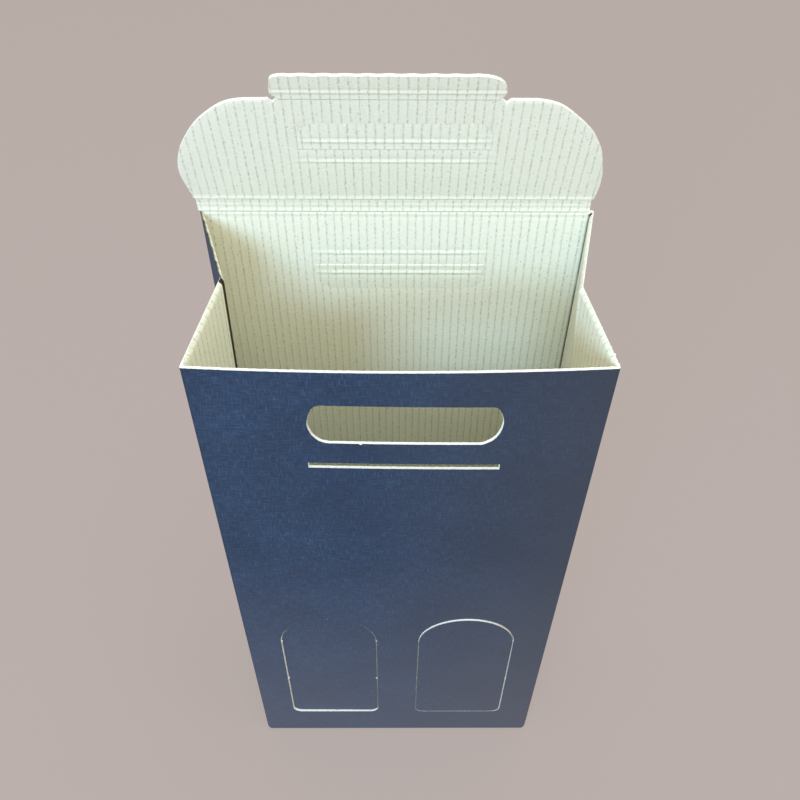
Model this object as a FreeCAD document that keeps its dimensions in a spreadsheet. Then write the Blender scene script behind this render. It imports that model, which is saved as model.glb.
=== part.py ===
import FreeCAD, Part
import os
import Sketcher
from FreeCAD import Placement, Rotation, Vector

# Two-bottle carrier box of microflute board: one folded and glued sheet whose lid stands open.
# Millimetres, +Z up. The origin is the centre of the base, and the front faces -Y.

SIZES = [
    ("panelWidth", 183.2, "outside width of the front and back panels"),
    ("boxDepth", 93.2, "outside depth between the front and back panels"),
    ("wallHeight", 388.0, "height of the front wall, where the side walls' sloping tops start"),
    ("board", 1.6, "thickness of the corrugated board"),
    ("foldRadius", 1.5, "outside radius of a folded corner"),
    ("foldGap", 0.15, "free space beside a crease that hinges"),
    ("scoreDepth", 0.35, "depth of a pressed score line"),
    ("scoreWidth", 1.2, "width of a pressed score line"),
    ("frontBow", 3.0, "how far the front panel bows out at its top edge"),
    ("gussetLevel", 250.0, "height at which the front starts to bow and the side folds change slope"),
    ("leftPushLow", 10.0, "inward fold of the left side at gussetLevel"),
    ("leftPushTop", 12.0, "inward fold of the left side at the top"),
    ("rightPushLow", 1.0, "inward fold of the right side at gussetLevel"),
    ("rightPushTop", 11.0, "inward fold of the right side at the top"),
    ("leftCreaseShift", 3.5, "how far back the left side's crease lies at the top"),
    ("rightCreaseShift", -1.5, "how far back the right side's crease lies at the top"),
    ("backShift", -2.0, "how far to the side the racked box has its back panel at the top"),
    ("lidShift", -2.5, "how far to the side the lid flap sits from the back panel"),
    ("backRise", 7.4, "rise of the side walls' tops from the front wall to the back panel's edge"),
    ("holeLength", 86.6, "length of the open hand hole in the front"),
    ("holeHeight", 27.0, "height of the open hand hole in the front"),
    ("holeDrop", 22.3, "from the front's top edge to the hand hole"),
    ("holeShift", 2.2, "sideways place of the hand hole and slot"),
    ("slotLength", 88.8, "length of the slot that takes the tuck tab"),
    ("slotHeight", 3.9, "height of the slot that takes the tuck tab"),
    ("slotDrop", 64.7, "from the front's top edge to the slot"),
    ("windowWidth", 58.0, "width of a die-cut bottle window"),
    ("windowSpring", 139.0, "height at which a window's arch starts"),
    ("windowFoot", 32.0, "height of a window's lower edge"),
    ("windowCorner", 6.0, "radius of a window's lower corners"),
    ("windowCentre", 41.6, "from the middle of the front to a window's middle"),
    ("windowKerf", 0.5, "width of the knife cut round a window"),
    ("nickWidth", 1.4, "width of an uncut nick that holds a window's blank"),
    ("leftSink", 0.8, "how far the left blank is pushed in"),
    ("rightRise", 0.6, "how far the right blank stands out"),
    ("stripWidth", 8.0, "width of the ridge strip between the lid's creases"),
    ("stripFlare", 1.3, "how much wider the strip is at its upper crease, each side"),
    ("flapHeight", 64.5, "from the lid's upper crease to the tuck crease"),
    ("lobeReach", 94.0, "half of the lid flap's greatest width"),
    ("lobeRise", 10.0, "height on the lid flap of its greatest width"),
    ("shoulderReach", 90.3, "half width of the lid flap where its corner arc starts"),
    ("shoulderRise", 36.0, "height on the lid flap where its corner arc starts"),
    ("crownReach", 60.0, "half width of the lid flap's straight top edge"),
    ("lobeRadius", 64.0, "radius of the lid flap's side arc"),
    ("crownRadius", 48.0, "radius of the lid flap's corner arc"),
    ("blendRadius", 16.0, "radius that softens the ends of the corner arc"),
    ("tabReach", 47.4, "half width of the tuck tab"),
    ("tabNeck", 45.2, "half width of the tuck tab at its crease"),
    ("tabNotch", 3.0, "height of the notch beside the tuck tab's neck"),
    ("tabLength", 14.5, "from the tuck crease to the tab's free edge"),
    ("tabCorner", 5.5, "radius of the tuck tab's corners"),
    ("tabScore", 4.1, "from the tuck crease to the tab's second score line"),
    ("gripReach", 41.5, "half length of a hand-hole flap"),
    ("gripScoreFar", 26.0, "from the lid crease to the score beyond a grip's hinge"),
    ("gripHinge", 34.3, "from the lid crease to a hand-hole flap's hinge"),
    ("gripScoreNear", 38.9, "from the lid crease to the score on a hand-hole flap"),
    ("gripCut", 49.8, "from the lid crease to a hand-hole flap's free edge"),
    ("gripCorner", 9.0, "radius of a hand-hole flap's corners"),
    ("cutGap", 0.3, "width of the knife cut round a hand-hole flap"),
    ("stripLean", 7.2, "forward lean of the ridge strip, in degrees"),
    ("flapLean", 14.4, "forward lean of the lid flap, in degrees"),
    ("tabLean", 22.5, "forward lean of the tuck tab, in degrees"),
    ("dustReach", 62.0, "length of a bottom dust flap along the box"),
    ("dustTaper", 26.0, "how much a dust flap narrows at its free edge, each side"),
    ("seamStep", 34.0, "half length of the offset in the bottom's middle seam"),
    ("seamOffset", 9.0, "how far the bottom's seam steps to each side"),
    ("seamWidth", 0.8, "width of the seam between the bottom flaps"),
]

doc = FreeCAD.newDocument("bottle_shipping_box")
sheet = doc.addObject("Spreadsheet::Sheet", "Sizes")
for row, (alias, number, meaning) in enumerate(SIZES, start=1):
    sheet.set(f"A{row}", meaning)
    sheet.set(f"B{row}", str(number))
    sheet.setAlias(f"B{row}", alias)
doc.recompute()
ALIASES = {alias for alias, number, meaning in SIZES}


def bound(expression):
    """Write an expression of plain aliases with the sheet's name before each alias."""
    words = []
    word = ""
    for letter in expression + " ":
        if letter.isalnum():
            word += letter
            continue
        words.append("Sizes." + word if word in ALIASES else word)
        words.append(letter)
        word = ""
    return "".join(words).strip()


def value(expression):
    return float(sheet.evalExpression(bound(expression)))


def new_body(name):
    body = doc.addObject("PartDesign::Body", name)
    body.Label = name
    return body


def plane_of(body, role):
    return next(item for item in body.Origin.OriginFeatures if item.Role == role)


def new_sketch(body, name, role, offset):
    """Add a sketch on one of the body's own planes, moved along the plane's normal by offset."""
    sketch = body.newObject("Sketcher::SketchObject", name)
    sketch.AttachmentSupport = (plane_of(body, role), "")
    sketch.MapMode = "FlatFace"
    sketch.setExpression(".AttachmentOffset.Base.z", bound(offset))
    return sketch


def arc_between(start, end, radius):
    """Arc from start to end whose centre lies on the left of the direction of travel."""
    chord = end - start
    half = chord.Length / 2
    normal = Vector(-chord.y, chord.x, 0).normalize()
    centre = (start + end) / 2 + normal * (radius**2 - half**2) ** 0.5
    circle = Part.Circle(centre, Vector(0, 0, 1), radius)
    return Part.ArcOfCircle(circle, circle.parameter(start), circle.parameter(end))


def draw_loop(sketch, corners):
    """Close a loop through corners (x, y) or (x, y, radius): a radius makes an arc to the next corner."""
    points = [Vector(value(corner[0]), value(corner[1]), 0) for corner in corners]
    edges = []
    for index, corner in enumerate(corners):
        start, end = points[index], points[(index + 1) % len(points)]
        if len(corner) == 2:
            edges.append(sketch.addGeometry(Part.LineSegment(start, end), False))
            continue
        radius = value(corner[2])
        edges.append(sketch.addGeometry(arc_between(start, end, radius), False))
        number = sketch.addConstraint(Sketcher.Constraint("Radius", edges[-1], radius))
        sketch.setExpression(f"Constraints[{number}]", bound(corner[2]))
    # In a constraint, -1 is the sketch's origin, and 1 and 2 are an edge's first and last point.
    for index, edge in enumerate(edges):
        following = edges[(index + 1) % len(edges)]
        sketch.addConstraint(Sketcher.Constraint("Coincident", edge, 2, following, 1))
        for kind, place, text in (("DistanceX", points[index].x, corners[index][0]),
                                  ("DistanceY", points[index].y, corners[index][1])):
            number = sketch.addConstraint(Sketcher.Constraint(kind, -1, 1, edge, 1, place))
            sketch.setExpression(f"Constraints[{number}]", bound(text))


def volume_of(feature):
    doc.recompute()
    return feature.Shape.Volume


def loft(body, kind, name, sections):
    feature = body.newObject(kind, name)
    feature.Profile = sections[0]
    feature.Sections = sections[1:]
    feature.Ruled = True
    doc.recompute()
    return feature


def pad(body, name, sketch, length, toward_normal):
    feature = body.newObject("PartDesign::Pad", name)
    feature.Profile = sketch
    feature.setExpression("Length", bound(length))
    feature.Reversed = not toward_normal
    doc.recompute()
    return feature


def pocket(body, name, sketch, length, against_normal=True):
    """Cut a sketch into the body, and stop if the cut took nothing away."""
    before = volume_of(body.Tip)
    feature = body.newObject("PartDesign::Pocket", name)
    feature.Profile = sketch
    feature.setExpression("Length", bound(length))
    feature.Reversed = not against_normal
    if volume_of(feature) >= before - 1e-6:
        raise RuntimeError(name + " cuts nothing")
    return feature


def round_edges(body, name, radius, wanted):
    """Round the edges of the body's last feature that wanted(edge) picks."""
    doc.recompute()
    base = body.Tip
    picked = [f"Edge{number}" for number, edge in enumerate(base.Shape.Edges, start=1) if wanted(edge)]
    if not picked:
        raise RuntimeError(name + " finds no edge")
    feature = body.newObject("PartDesign::Fillet", name)
    feature.Base = (base, picked)
    feature.setExpression("Radius", bound(radius))
    doc.recompute()
    return feature


def box_loop(low_x, low_y, high_x, high_y):
    return [(low_x, low_y), (high_x, low_y), (high_x, high_y), (low_x, high_y)]


# The top of the two glued bottom layers, the axis of the lid's lower crease, and how far a panel
# stops short of a hinge's axis.
FLOOR = "(board * 2)"
LID_FOLD = "(wallHeight + backRise + board / 2 + foldGap)"
HINGE_SETBACK = "(board / 2 + foldGap)"
GRIP_SCORE_REACH = "(gripReach - gripCorner / 2)"
BACK_GRIP = "(backShift + holeShift)"


def side_lines(sign, push, crease, inset, share):
    """Where one folded side meets the front, its crease and the back, for a share of the height."""
    rack = f"(backShift * {share})"
    near_slope = f"(({push}) / (boxDepth / 2 + {crease}))"
    far_slope = f"((({push}) {sign} {rack}) / (boxDepth / 2 - {crease}))"
    near_skew = f"sqrt(1 + {near_slope} ^ 2)"
    far_skew = f"sqrt(1 + {far_slope} ^ 2)"
    return {
        "near": f"(panelWidth / 2 - {inset} * ({near_skew} + {near_slope}))",
        "waist": f"(panelWidth / 2 - ({push}) - {inset} * ({near_skew} + {far_skew}) / 2)",
        "far": f"(panelWidth / 2 {sign} {rack} - {inset} * ({far_skew} + {far_slope}))",
        "near_slope": near_slope, "far_slope": far_slope, "near_skew": near_skew, "far_skew": far_skew,
    }


def wall_section(body, name, level, inset, left_push, right_push, bow, corner=None):
    """One horizontal outline of the walls, moved inwards by inset, with both sides folded in."""
    share = f"(({level}) / (wallHeight + backRise))"
    creases = {side: f"({side}CreaseShift * {share})" for side in ("left", "right")}
    ends = {"near": f"(-boxDepth / 2 + {inset})", "far": f"(boxDepth / 2 - {inset})"}
    sides = {
        "left": side_lines("-", left_push, creases["left"], inset, share),
        "right": side_lines("+", right_push, creases["right"], inset, share),
    }
    signs = {"left": "-", "right": ""}
    sketch = new_sketch(body, name, "XY_Plane", level)

    def folded(side, end, flat_first):
        """The two ends of a rounded corner, or its one sharp point."""
        lines = sides[side]
        reach, slope, skew = lines[end], lines[end + "_slope"], lines[end + "_skew"]
        if corner is None:
            return [(f"{signs[side]}{reach}", ends[end])]
        inward = "+" if end == "near" else "-"
        flat = (f"{signs[side]}({reach} - {corner})", ends[end])
        slanted = (f"{signs[side]}({reach} - {corner} * {slope} / {skew})",
                   f"{ends[end]} {inward} {corner} / {skew}")
        first, second = (flat, slanted) if flat_first else (slanted, flat)
        return [first + (f"{corner} * ({skew} - {slope})",), second]

    points = folded("left", "near", False) + folded("right", "near", True)
    points += [(sides["right"]["waist"], creases["right"])]
    points += folded("right", "far", False) + folded("left", "far", True)
    points += [(f"-{sides['left']['waist']}", creases["left"])]
    if bow:
        start = 0 if corner is None else 1
        trim = "0" if corner is None else corner
        half = f"(({sides['left']['near']} + {sides['right']['near']}) / 2 - {trim})"
        points[start] = points[start][:2] + (f"({half} ^ 2 + {bow} ^ 2) / (2 * {bow})",)
    draw_loop(sketch, points)
    return sketch


def build_walls(body):
    """Front, back and two folded-in sides as one shell on a closed bottom of two board layers."""
    low = ("leftPushLow", "rightPushLow", None)
    high = ("leftPushTop", "rightPushTop", "frontBow")
    foot = wall_section(body, "outline_foot", "0", "0", "0", "0", None, "foldRadius")
    pad(body, "foot_form", foot, FLOOR, True)
    round_edges(body, "foot_folds", "board * 3 / 2", lambda edge: edge.BoundBox.ZMax < 1e-6)
    outside = [
        wall_section(body, "outline_floor", FLOOR, "0", "0", "0", None, "foldRadius"),
        wall_section(body, "outline_middle", "gussetLevel", "0", *low, "foldRadius"),
        wall_section(body, "outline_top", "wallHeight + backRise", "0", *high, "foldRadius"),
    ]
    loft(body, "PartDesign::AdditiveLoft", "outer_form", outside)
    inside = [
        wall_section(body, "hollow_floor", FLOOR, "board", "0", "0", None),
        wall_section(body, "hollow_middle", "gussetLevel", "board", *low),
        wall_section(body, "hollow_top", "wallHeight + backRise", "board", *high),
    ]
    loft(body, "PartDesign::SubtractiveLoft", "hollow_form", inside)


def cut_mouth(body):
    """Cut the front level and the side walls on a slope up to the back panel's edge."""
    sketch = new_sketch(body, "mouth_outline", "YZ_Plane", "panelWidth")
    ahead = "-boxDepth / 2 - frontBow - board"
    above = "wallHeight + backRise + board"
    draw_loop(sketch, [
        (ahead, "wallHeight"), ("board - boxDepth / 2", "wallHeight"),
        ("boxDepth / 2 - board", "wallHeight + backRise"), ("boxDepth / 2 - board", above), (ahead, above),
    ])
    pocket(body, "mouth", sketch, "panelWidth * 2")


def build_front_openings(body):
    outside = "boxDepth / 2 + frontBow + board"
    depth = "frontBow + board * 3"
    hole = new_sketch(body, "hand_hole_outline", "XZ_Plane", outside)
    bend = "(holeHeight / 2)"
    left = "(holeShift - holeLength / 2)"
    right = "(holeShift + holeLength / 2)"
    low = "wallHeight - holeDrop - holeHeight"
    high = "wallHeight - holeDrop"
    draw_loop(hole, [
        (f"{left} + {bend}", low), (f"{right} - {bend}", low, bend), (right, f"{low} + {bend}", bend),
        (f"{right} - {bend}", high), (f"{left} + {bend}", high, bend), (left, f"{low} + {bend}", bend),
    ])
    pocket(body, "hand_hole", hole, depth)
    slot = new_sketch(body, "tuck_slot_outline", "XZ_Plane", outside)
    draw_loop(slot, box_loop("holeShift - slotLength / 2", "wallHeight - slotDrop - slotHeight",
                             "holeShift + slotLength / 2", "wallHeight - slotDrop"))
    pocket(body, "tuck_slot", slot, depth)


def arch_loop(middle, inset):
    """Arch with a half-round head and rounded lower corners, moved inwards by inset."""
    half = f"(windowWidth / 2 - {inset})"
    low = f"(windowFoot + {inset})"
    corner = "windowCorner"
    return [
        (f"{middle} - {half} + {corner}", low), (f"{middle} + {half} - {corner}", low, corner),
        (f"{middle} + {half}", f"{low} + {corner}"), (f"{middle} + {half}", "windowSpring", half),
        (middle, f"windowSpring + {half}", half),
        (f"{middle} - {half}", "windowSpring"), (f"{middle} - {half}", f"{low} + {corner}", corner),
    ]


def build_window(body, side, middle, shift):
    """A die-cut blank that still hangs by its nicks, a little in or out of the front panel."""
    opening = new_sketch(body, f"{side}_window_cut", "XZ_Plane", "boxDepth / 2 + frontBow")
    draw_loop(opening, arch_loop(middle, "0"))
    pocket(body, f"{side}_window", opening, "frontBow + board * 3")
    grip = "windowKerf * 2"
    half = "windowWidth / 2"
    heights = ["windowSpring", "(windowFoot + windowSpring) / 2"]
    nicks = []
    for level in heights:
        for way in ("-", "+"):
            edge = f"{middle} {way} {half}"
            nicks.append(box_loop(f"{edge} - {grip}", f"{level} - nickWidth / 2",
                                  f"{edge} + {grip}", f"{level} + nickWidth / 2"))
    for level in ("windowFoot", f"windowSpring + {half}"):
        nicks.append(box_loop(f"{middle} - nickWidth / 2", f"{level} - {grip}",
                              f"{middle} + nickWidth / 2", f"{level} + {grip}"))
    middle_face = f"boxDepth / 2 - board / 4 + ({shift}) / 2"
    for number, nick in enumerate(nicks, start=1):
        sketch = new_sketch(body, f"{side}_nick_outline_{number}", "XZ_Plane", middle_face)
        draw_loop(sketch, nick)
        pad(body, f"{side}_nick_{number}", sketch, "board / 2", False)
    blank = new_sketch(body, f"{side}_blank_outline", "XZ_Plane", f"boxDepth / 2 + ({shift})")
    draw_loop(blank, arch_loop(middle, "windowKerf"))
    pad(body, f"{side}_blank", blank, "board", False)


def grip_loop(middle, grow, hinge, cut):
    """Outline of a hand-hole flap: straight at its hinge, with round corners at its free edge."""
    left = f"({middle} - gripReach - {grow})"
    right = f"({middle} + gripReach + {grow})"
    corner = f"(gripCorner + {grow})"
    if value(cut) > value(hinge):
        return [
            (left, hinge), (right, hinge), (right, f"{cut} - {corner}", corner),
            (f"{right} - {corner}", cut), (f"{left} + {corner}", cut, corner), (left, f"{cut} - {corner}"),
        ]
    return [
        (right, hinge), (left, hinge), (left, f"{cut} + {corner}", corner),
        (f"{left} + {corner}", cut), (f"{right} - {corner}", cut, corner), (right, f"{cut} + {corner}"),
    ]


def score_line(body, name, face, middle, reach, level):
    """A pressed groove along X in the inside face, which lies at -Y by the distance face."""
    sketch = new_sketch(body, f"{name}_outline", "XZ_Plane", face)
    draw_loop(sketch, box_loop(f"{middle} - {reach}", f"{level} - scoreWidth / 2",
                               f"{middle} + {reach}", f"{level} + scoreWidth / 2"))
    pocket(body, name, sketch, "scoreDepth")


def build_back_grip(body):
    """Opening for the back's hand-hole flap, and the score line above its hinge."""
    opening = new_sketch(body, "back_grip_outline", "XZ_Plane", "-boxDepth / 2 + board * 2")
    hinge = f"{LID_FOLD} - gripHinge + {HINGE_SETBACK}"
    draw_loop(opening, grip_loop(BACK_GRIP, "cutGap", hinge, f"{LID_FOLD} - gripCut - cutGap"))
    pocket(body, "back_grip_opening", opening, "board * 3")
    score_line(body, "back_grip_score", "board - boxDepth / 2", BACK_GRIP, GRIP_SCORE_REACH,
               f"{LID_FOLD} - gripScoreFar")


def build_bottom(body):
    """Inside, two dust flaps with slanted edges; underneath, the stepped seam of the long flaps."""
    deep = "(boxDepth / 2 - board)"
    for side, way in (("left", "-"), ("right", "")):
        root = f"{way}(panelWidth / 2 - board)"
        tip = f"{way}(panelWidth / 2 - board - dustReach)"
        loop = [(root, f"-{deep}"), (tip, f"-{deep} + dustTaper"), (tip, f"{deep} - dustTaper"), (root, deep)]
        sketch = new_sketch(body, f"{side}_dust_flap_outline", "XY_Plane", f"{FLOOR} - board / 2")
        draw_loop(sketch, loop)
        pad(body, f"{side}_dust_flap", sketch, "board * 3 / 2", True)
    half = "seamWidth / 2"
    end = "panelWidth / 2"
    sketch = new_sketch(body, "bottom_seam_outline", "XY_Plane", "0")
    draw_loop(sketch, [
        (f"-{end}", f"-seamOffset - {half}"), (f"-seamStep + {half}", f"-seamOffset - {half}"),
        (f"-seamStep + {half}", f"seamOffset - {half}"), (f"seamStep - {half}", f"seamOffset - {half}"),
        (f"seamStep - {half}", f"-seamOffset - {half}"), (end, f"-seamOffset - {half}"),
        (end, f"-seamOffset + {half}"), (f"seamStep + {half}", f"-seamOffset + {half}"),
        (f"seamStep + {half}", f"seamOffset + {half}"), (f"-seamStep - {half}", f"seamOffset + {half}"),
        (f"-seamStep - {half}", f"-seamOffset + {half}"), (f"-{end}", f"-seamOffset + {half}"),
    ])
    pocket(body, "bottom_seam", sketch, "board / 2", against_normal=False)


def build_carton():
    body = new_body("carton")
    build_walls(body)
    cut_mouth(body)
    build_front_openings(body)
    build_window(body, "left", "(-windowCentre)", "-leftSink")
    build_window(body, "right", "windowCentre", "rightRise")
    build_back_grip(body)
    build_bottom(body)
    return body


def round_hinge_end(body):
    """Round both long edges at the crease, so that the end turns inside the fold's gap."""
    level = -value("board / 2")
    round_edges(body, "crease_bead", "board / 2 - foldGap / 4",
                lambda edge: edge.BoundBox.ZMax < level + 1e-6 and edge.BoundBox.XLength > value("board * 4"))


def build_lid_strip():
    """The narrow ridge between the lid's two creases."""
    body = new_body("lid_strip")
    sketch = new_sketch(body, "strip_outline", "XZ_Plane", "-board / 2")
    low = "-board / 2"
    high = f"stripWidth - {HINGE_SETBACK}"
    draw_loop(sketch, [
        ("-panelWidth / 2", low), ("panelWidth / 2", low),
        ("lidShift + panelWidth / 2 + stripFlare", high), ("lidShift - panelWidth / 2 - stripFlare", high),
    ])
    pad(body, "strip", sketch, "board", True)
    round_hinge_end(body)
    return body


def build_lid_flap():
    """The lid's large flap with round lobes, and the opening for its hand-hole flap."""
    body = new_body("lid_flap")
    sketch = new_sketch(body, "flap_outline", "XZ_Plane", "-board / 2")
    low = "-board / 2"
    high = f"flapHeight - {HINGE_SETBACK}"
    foot = "(panelWidth / 2 + stripFlare)"
    draw_loop(sketch, [
        (f"-{foot}", low), (foot, low), ("lobeReach", "lobeRise", "lobeRadius"),
        ("shoulderReach", "shoulderRise", "crownRadius"), ("crownReach", high),
        ("-crownReach", high, "crownRadius"), ("-shoulderReach", "shoulderRise", "lobeRadius"),
        ("-lobeReach", "lobeRise"),
    ])
    pad(body, "flap", sketch, "board", True)
    blends = (("crownReach", high), ("shoulderReach", "shoulderRise"))
    places = [(value(across), value(up)) for across, up in blends]
    round_edges(body, "lobe_blends", "blendRadius",
                lambda edge: any(abs(abs(edge.CenterOfMass.x) - across) < 1e-3
                                 and abs(edge.CenterOfMass.z - up) < 1e-3 for across, up in places))
    round_hinge_end(body)
    opening = new_sketch(body, "lid_grip_outline", "XZ_Plane", "board")
    draw_loop(opening, grip_loop("holeShift", "cutGap", f"gripHinge - {HINGE_SETBACK}", "gripCut + cutGap"))
    pocket(body, "lid_grip_opening", opening, "board * 2")
    score_line(body, "lid_grip_score", "board / 2", "holeShift", GRIP_SCORE_REACH, "gripScoreFar")
    return body


def build_tuck_tab():
    """The tab that goes into the front's slot."""
    body = new_body("tuck_tab")
    sketch = new_sketch(body, "tab_outline", "XZ_Plane", "-board / 2")
    draw_loop(sketch, [
        ("-tabNeck", "-board / 2"), ("tabNeck", "-board / 2"), ("tabNeck", "tabNotch / 2"),
        ("tabReach", "tabNotch"), ("tabReach", "tabLength - tabCorner", "tabCorner"),
        ("tabReach - tabCorner", "tabLength"), ("tabCorner - tabReach", "tabLength", "tabCorner"),
        ("-tabReach", "tabLength - tabCorner"), ("-tabReach", "tabNotch"), ("-tabNeck", "tabNotch / 2"),
    ])
    pad(body, "tab", sketch, "board", True)
    round_hinge_end(body)
    score_line(body, "tab_score", "board / 2", "0", "tabNeck", "tabScore")
    return body


def build_grip_flap(name, way):
    """A hand-hole flap that hinges at its straight edge: way is 1 upwards or -1 downwards."""
    body = new_body(name)
    sketch = new_sketch(body, "grip_outline", "XZ_Plane", "-board / 2")
    sign = "" if way > 0 else "-"
    draw_loop(sketch, grip_loop("0", "0", f"{sign}(-board / 2)", f"{sign}(gripCut - gripHinge)"))
    pad(body, "grip", sketch, "board", True)
    level = value("board / 2")
    round_edges(body, "crease_bead", "board / 2 - foldGap / 4",
                lambda edge: abs(edge.BoundBox.ZMax * way + level) < 1e-6
                and abs(edge.BoundBox.ZMin * way + level) < 1e-6
                and edge.BoundBox.XLength > value("board * 4"))
    score_line(body, "grip_score", "board / 2", "0", GRIP_SCORE_REACH, f"{sign}(gripScoreNear - gripHinge)")
    return body


def lean(body, angle):
    """Turn a body about the X axis through its own hinge, forwards for a positive angle."""
    body.Placement = Placement(Vector(0, 0, 0), Rotation(Vector(1, 0, 0), value(angle)))
    body.setExpression("Placement.Rotation.Angle", bound(angle))


def along(angle, distance):
    """Y and Z of the point at a distance up a panel that leans forwards by angle degrees."""
    return f"-({distance}) * sin({angle} * 1 deg)", f"({distance}) * cos({angle} * 1 deg)"


def place_pieces(pieces):
    """Hang the lid's pieces on each other, from the back panel's fold to the tuck tab."""
    fold_y = "(boxDepth / 2 - board / 2)"
    step_y, step_z = along("stripLean", "stripWidth")
    rise_y, rise_z = along("flapLean", "flapHeight")
    grip_y, grip_z = along("flapLean", "gripHinge")
    flap_x = "(backShift + lidShift)"
    lid_grip_x = f"{flap_x} + holeShift"
    flap_y = f"{fold_y} + ({step_y})"
    flap_z = f"{LID_FOLD} + ({step_z})"
    places = {
        "lid_strip": ("stripLean", "backShift", fold_y, LID_FOLD),
        "lid_flap": ("flapLean", flap_x, flap_y, flap_z),
        "tuck_tab": ("tabLean", flap_x, f"{flap_y} + ({rise_y})", f"{flap_z} + ({rise_z})"),
        "lid_hand_flap": ("flapLean", lid_grip_x, f"{flap_y} + ({grip_y})", f"{flap_z} + ({grip_z})"),
        "back_hand_flap": (None, BACK_GRIP, fold_y, f"{LID_FOLD} - gripHinge"),
    }
    for name, (angle, x, y, z) in places.items():
        if angle:
            lean(pieces[name], angle)
        for axis, place in (("x", x), ("y", y), ("z", z)):
            pieces[name].setExpression(f"Placement.Base.{axis}", bound(place))


def check_document(pieces):
    for item in doc.Objects:
        if "Invalid" in item.State or "Error" in item.State:
            raise RuntimeError(f"{item.Name} is {item.State}")
    for name, body in pieces.items():
        if body.Shape.isNull() or not body.Shape.isValid() or len(body.Shape.Solids) != 1:
            raise RuntimeError(f"{name} is not one valid solid")


pieces = {
    "carton": build_carton(),
    "lid_strip": build_lid_strip(),
    "lid_flap": build_lid_flap(),
    "tuck_tab": build_tuck_tab(),
    "lid_hand_flap": build_grip_flap("lid_hand_flap", 1),
    "back_hand_flap": build_grip_flap("back_hand_flap", -1),
}
place_pieces(pieces)
doc.recompute()
check_document(pieces)
os.makedirs("parts", exist_ok=True)
for name, body in pieces.items():
    body.Shape.exportStep(f"parts/{name}.step")
    print(name, round(body.Shape.Volume, 1), [round(number, 2) for number in (
        body.Shape.BoundBox.XMin, body.Shape.BoundBox.YMin, body.Shape.BoundBox.ZMin,
        body.Shape.BoundBox.XMax, body.Shape.BoundBox.YMax, body.Shape.BoundBox.ZMax)])
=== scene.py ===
import bmesh
import bpy
import math
import numpy as np
from mathutils import Matrix, Vector
from mathutils.geometry import delaunay_2d_cdt
from mathutils.kdtree import KDTree


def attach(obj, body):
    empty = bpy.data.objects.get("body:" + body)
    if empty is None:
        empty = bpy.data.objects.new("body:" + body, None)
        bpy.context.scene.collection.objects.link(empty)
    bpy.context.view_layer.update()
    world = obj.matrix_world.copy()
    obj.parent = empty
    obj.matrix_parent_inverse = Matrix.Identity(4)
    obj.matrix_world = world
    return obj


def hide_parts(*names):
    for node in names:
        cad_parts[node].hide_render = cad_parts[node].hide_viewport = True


# A two-bottle carrier box of microflute board: linen-embossed blue outside, cream liner inside.
# All sizes below are millimetres. The frame is in metres.
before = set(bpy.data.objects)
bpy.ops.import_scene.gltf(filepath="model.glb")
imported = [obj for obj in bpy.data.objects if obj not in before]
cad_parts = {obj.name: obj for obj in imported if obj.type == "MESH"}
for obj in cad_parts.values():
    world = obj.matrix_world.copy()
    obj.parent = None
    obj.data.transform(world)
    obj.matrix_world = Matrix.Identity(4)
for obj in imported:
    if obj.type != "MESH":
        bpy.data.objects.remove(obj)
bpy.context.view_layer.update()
mm = 0.001
print("frame loaded:", ", ".join(sorted(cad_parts)))

# Camera, at the photograph's viewing angle
cameraView = {
    "place": (-3.4, -314.8, 687.3),
    "azimuth": -0.73,
    "elevation": 49.99,
    "roll": 0.63,
    "lens": 43.75,  # on a 36 mm sensor
}


def makeCamera(view):
    azimuth, elevation, roll = (math.radians(view[key]) for key in ("azimuth", "elevation", "roll"))
    back = Vector((math.sin(azimuth) * math.cos(elevation), -math.cos(azimuth) * math.cos(elevation),
                   math.sin(elevation)))
    right = Vector((0, 0, 1)).cross(back).normalized()
    up = back.cross(right)
    turned = (right * math.cos(roll) + up * math.sin(roll), up * math.cos(roll) - right * math.sin(roll))
    camera = bpy.data.objects.new("viewCamera", bpy.data.cameras.new("viewCamera"))
    bpy.context.collection.objects.link(camera)
    camera.data.sensor_width = 36
    camera.data.lens = view["lens"]
    camera.data.clip_end = 50
    turn = Matrix((turned[0], turned[1], back)).transposed().to_4x4()
    camera.matrix_world = Matrix.Translation(Vector(view["place"]) * mm) @ turn
    bpy.context.scene.camera = camera


makeCamera(cameraView)
print("camera placed")

# The board's own build-up, shared by every piece
board = {
    "thickness": 1.6,
    "flutePitch": 3.9,
    "fluteRelief": 0.055,  # half height of the washboard that the flutes leave in the liner
    "columns": 6,  # columns of mesh per flute
    "rowStep": 8.0,
    "outerStep": 5.0,
    "edgeStep": 0.7,
    "edgeNoise": 0.07,  # how ragged the knife leaves an edge
    "crush": 0.25,  # how much thinner the knife presses the board beside a cut
    "crushReach": 0.8,
    "seed": 7,
}
dice = np.random.default_rng(board["seed"])
half = board["thickness"] / 2


def arcPoints(start, end, radius, step=6.0):
    chord = end - start
    reach = np.hypot(*chord) / 2
    normal = np.array([-chord[1], chord[0]]) / (2 * reach)
    centre = (start + end) / 2 + normal * math.sqrt(max(radius ** 2 - reach ** 2, 0))
    first = math.atan2(*(start - centre)[::-1])
    sweep = (math.atan2(*(end - centre)[::-1]) - first) % (2 * math.pi)
    count = max(2, math.ceil(math.degrees(sweep) / step))
    angles = first + sweep * np.arange(count) / count
    return [centre + radius * np.array([math.cos(a), math.sin(a)]) for a in angles]


def outlineFrom(corners):
    # a corner is (x, y), or (x, y, radius) for an arc to the next corner with its centre on the left
    points = []
    for index, corner in enumerate(corners):
        start = np.array(corner[:2], float)
        if len(corner) == 3:
            points += arcPoints(start, np.array(corners[(index + 1) % len(corners)][:2], float), corner[2])
        else:
            points.append(start)
    return np.array(points)


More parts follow.
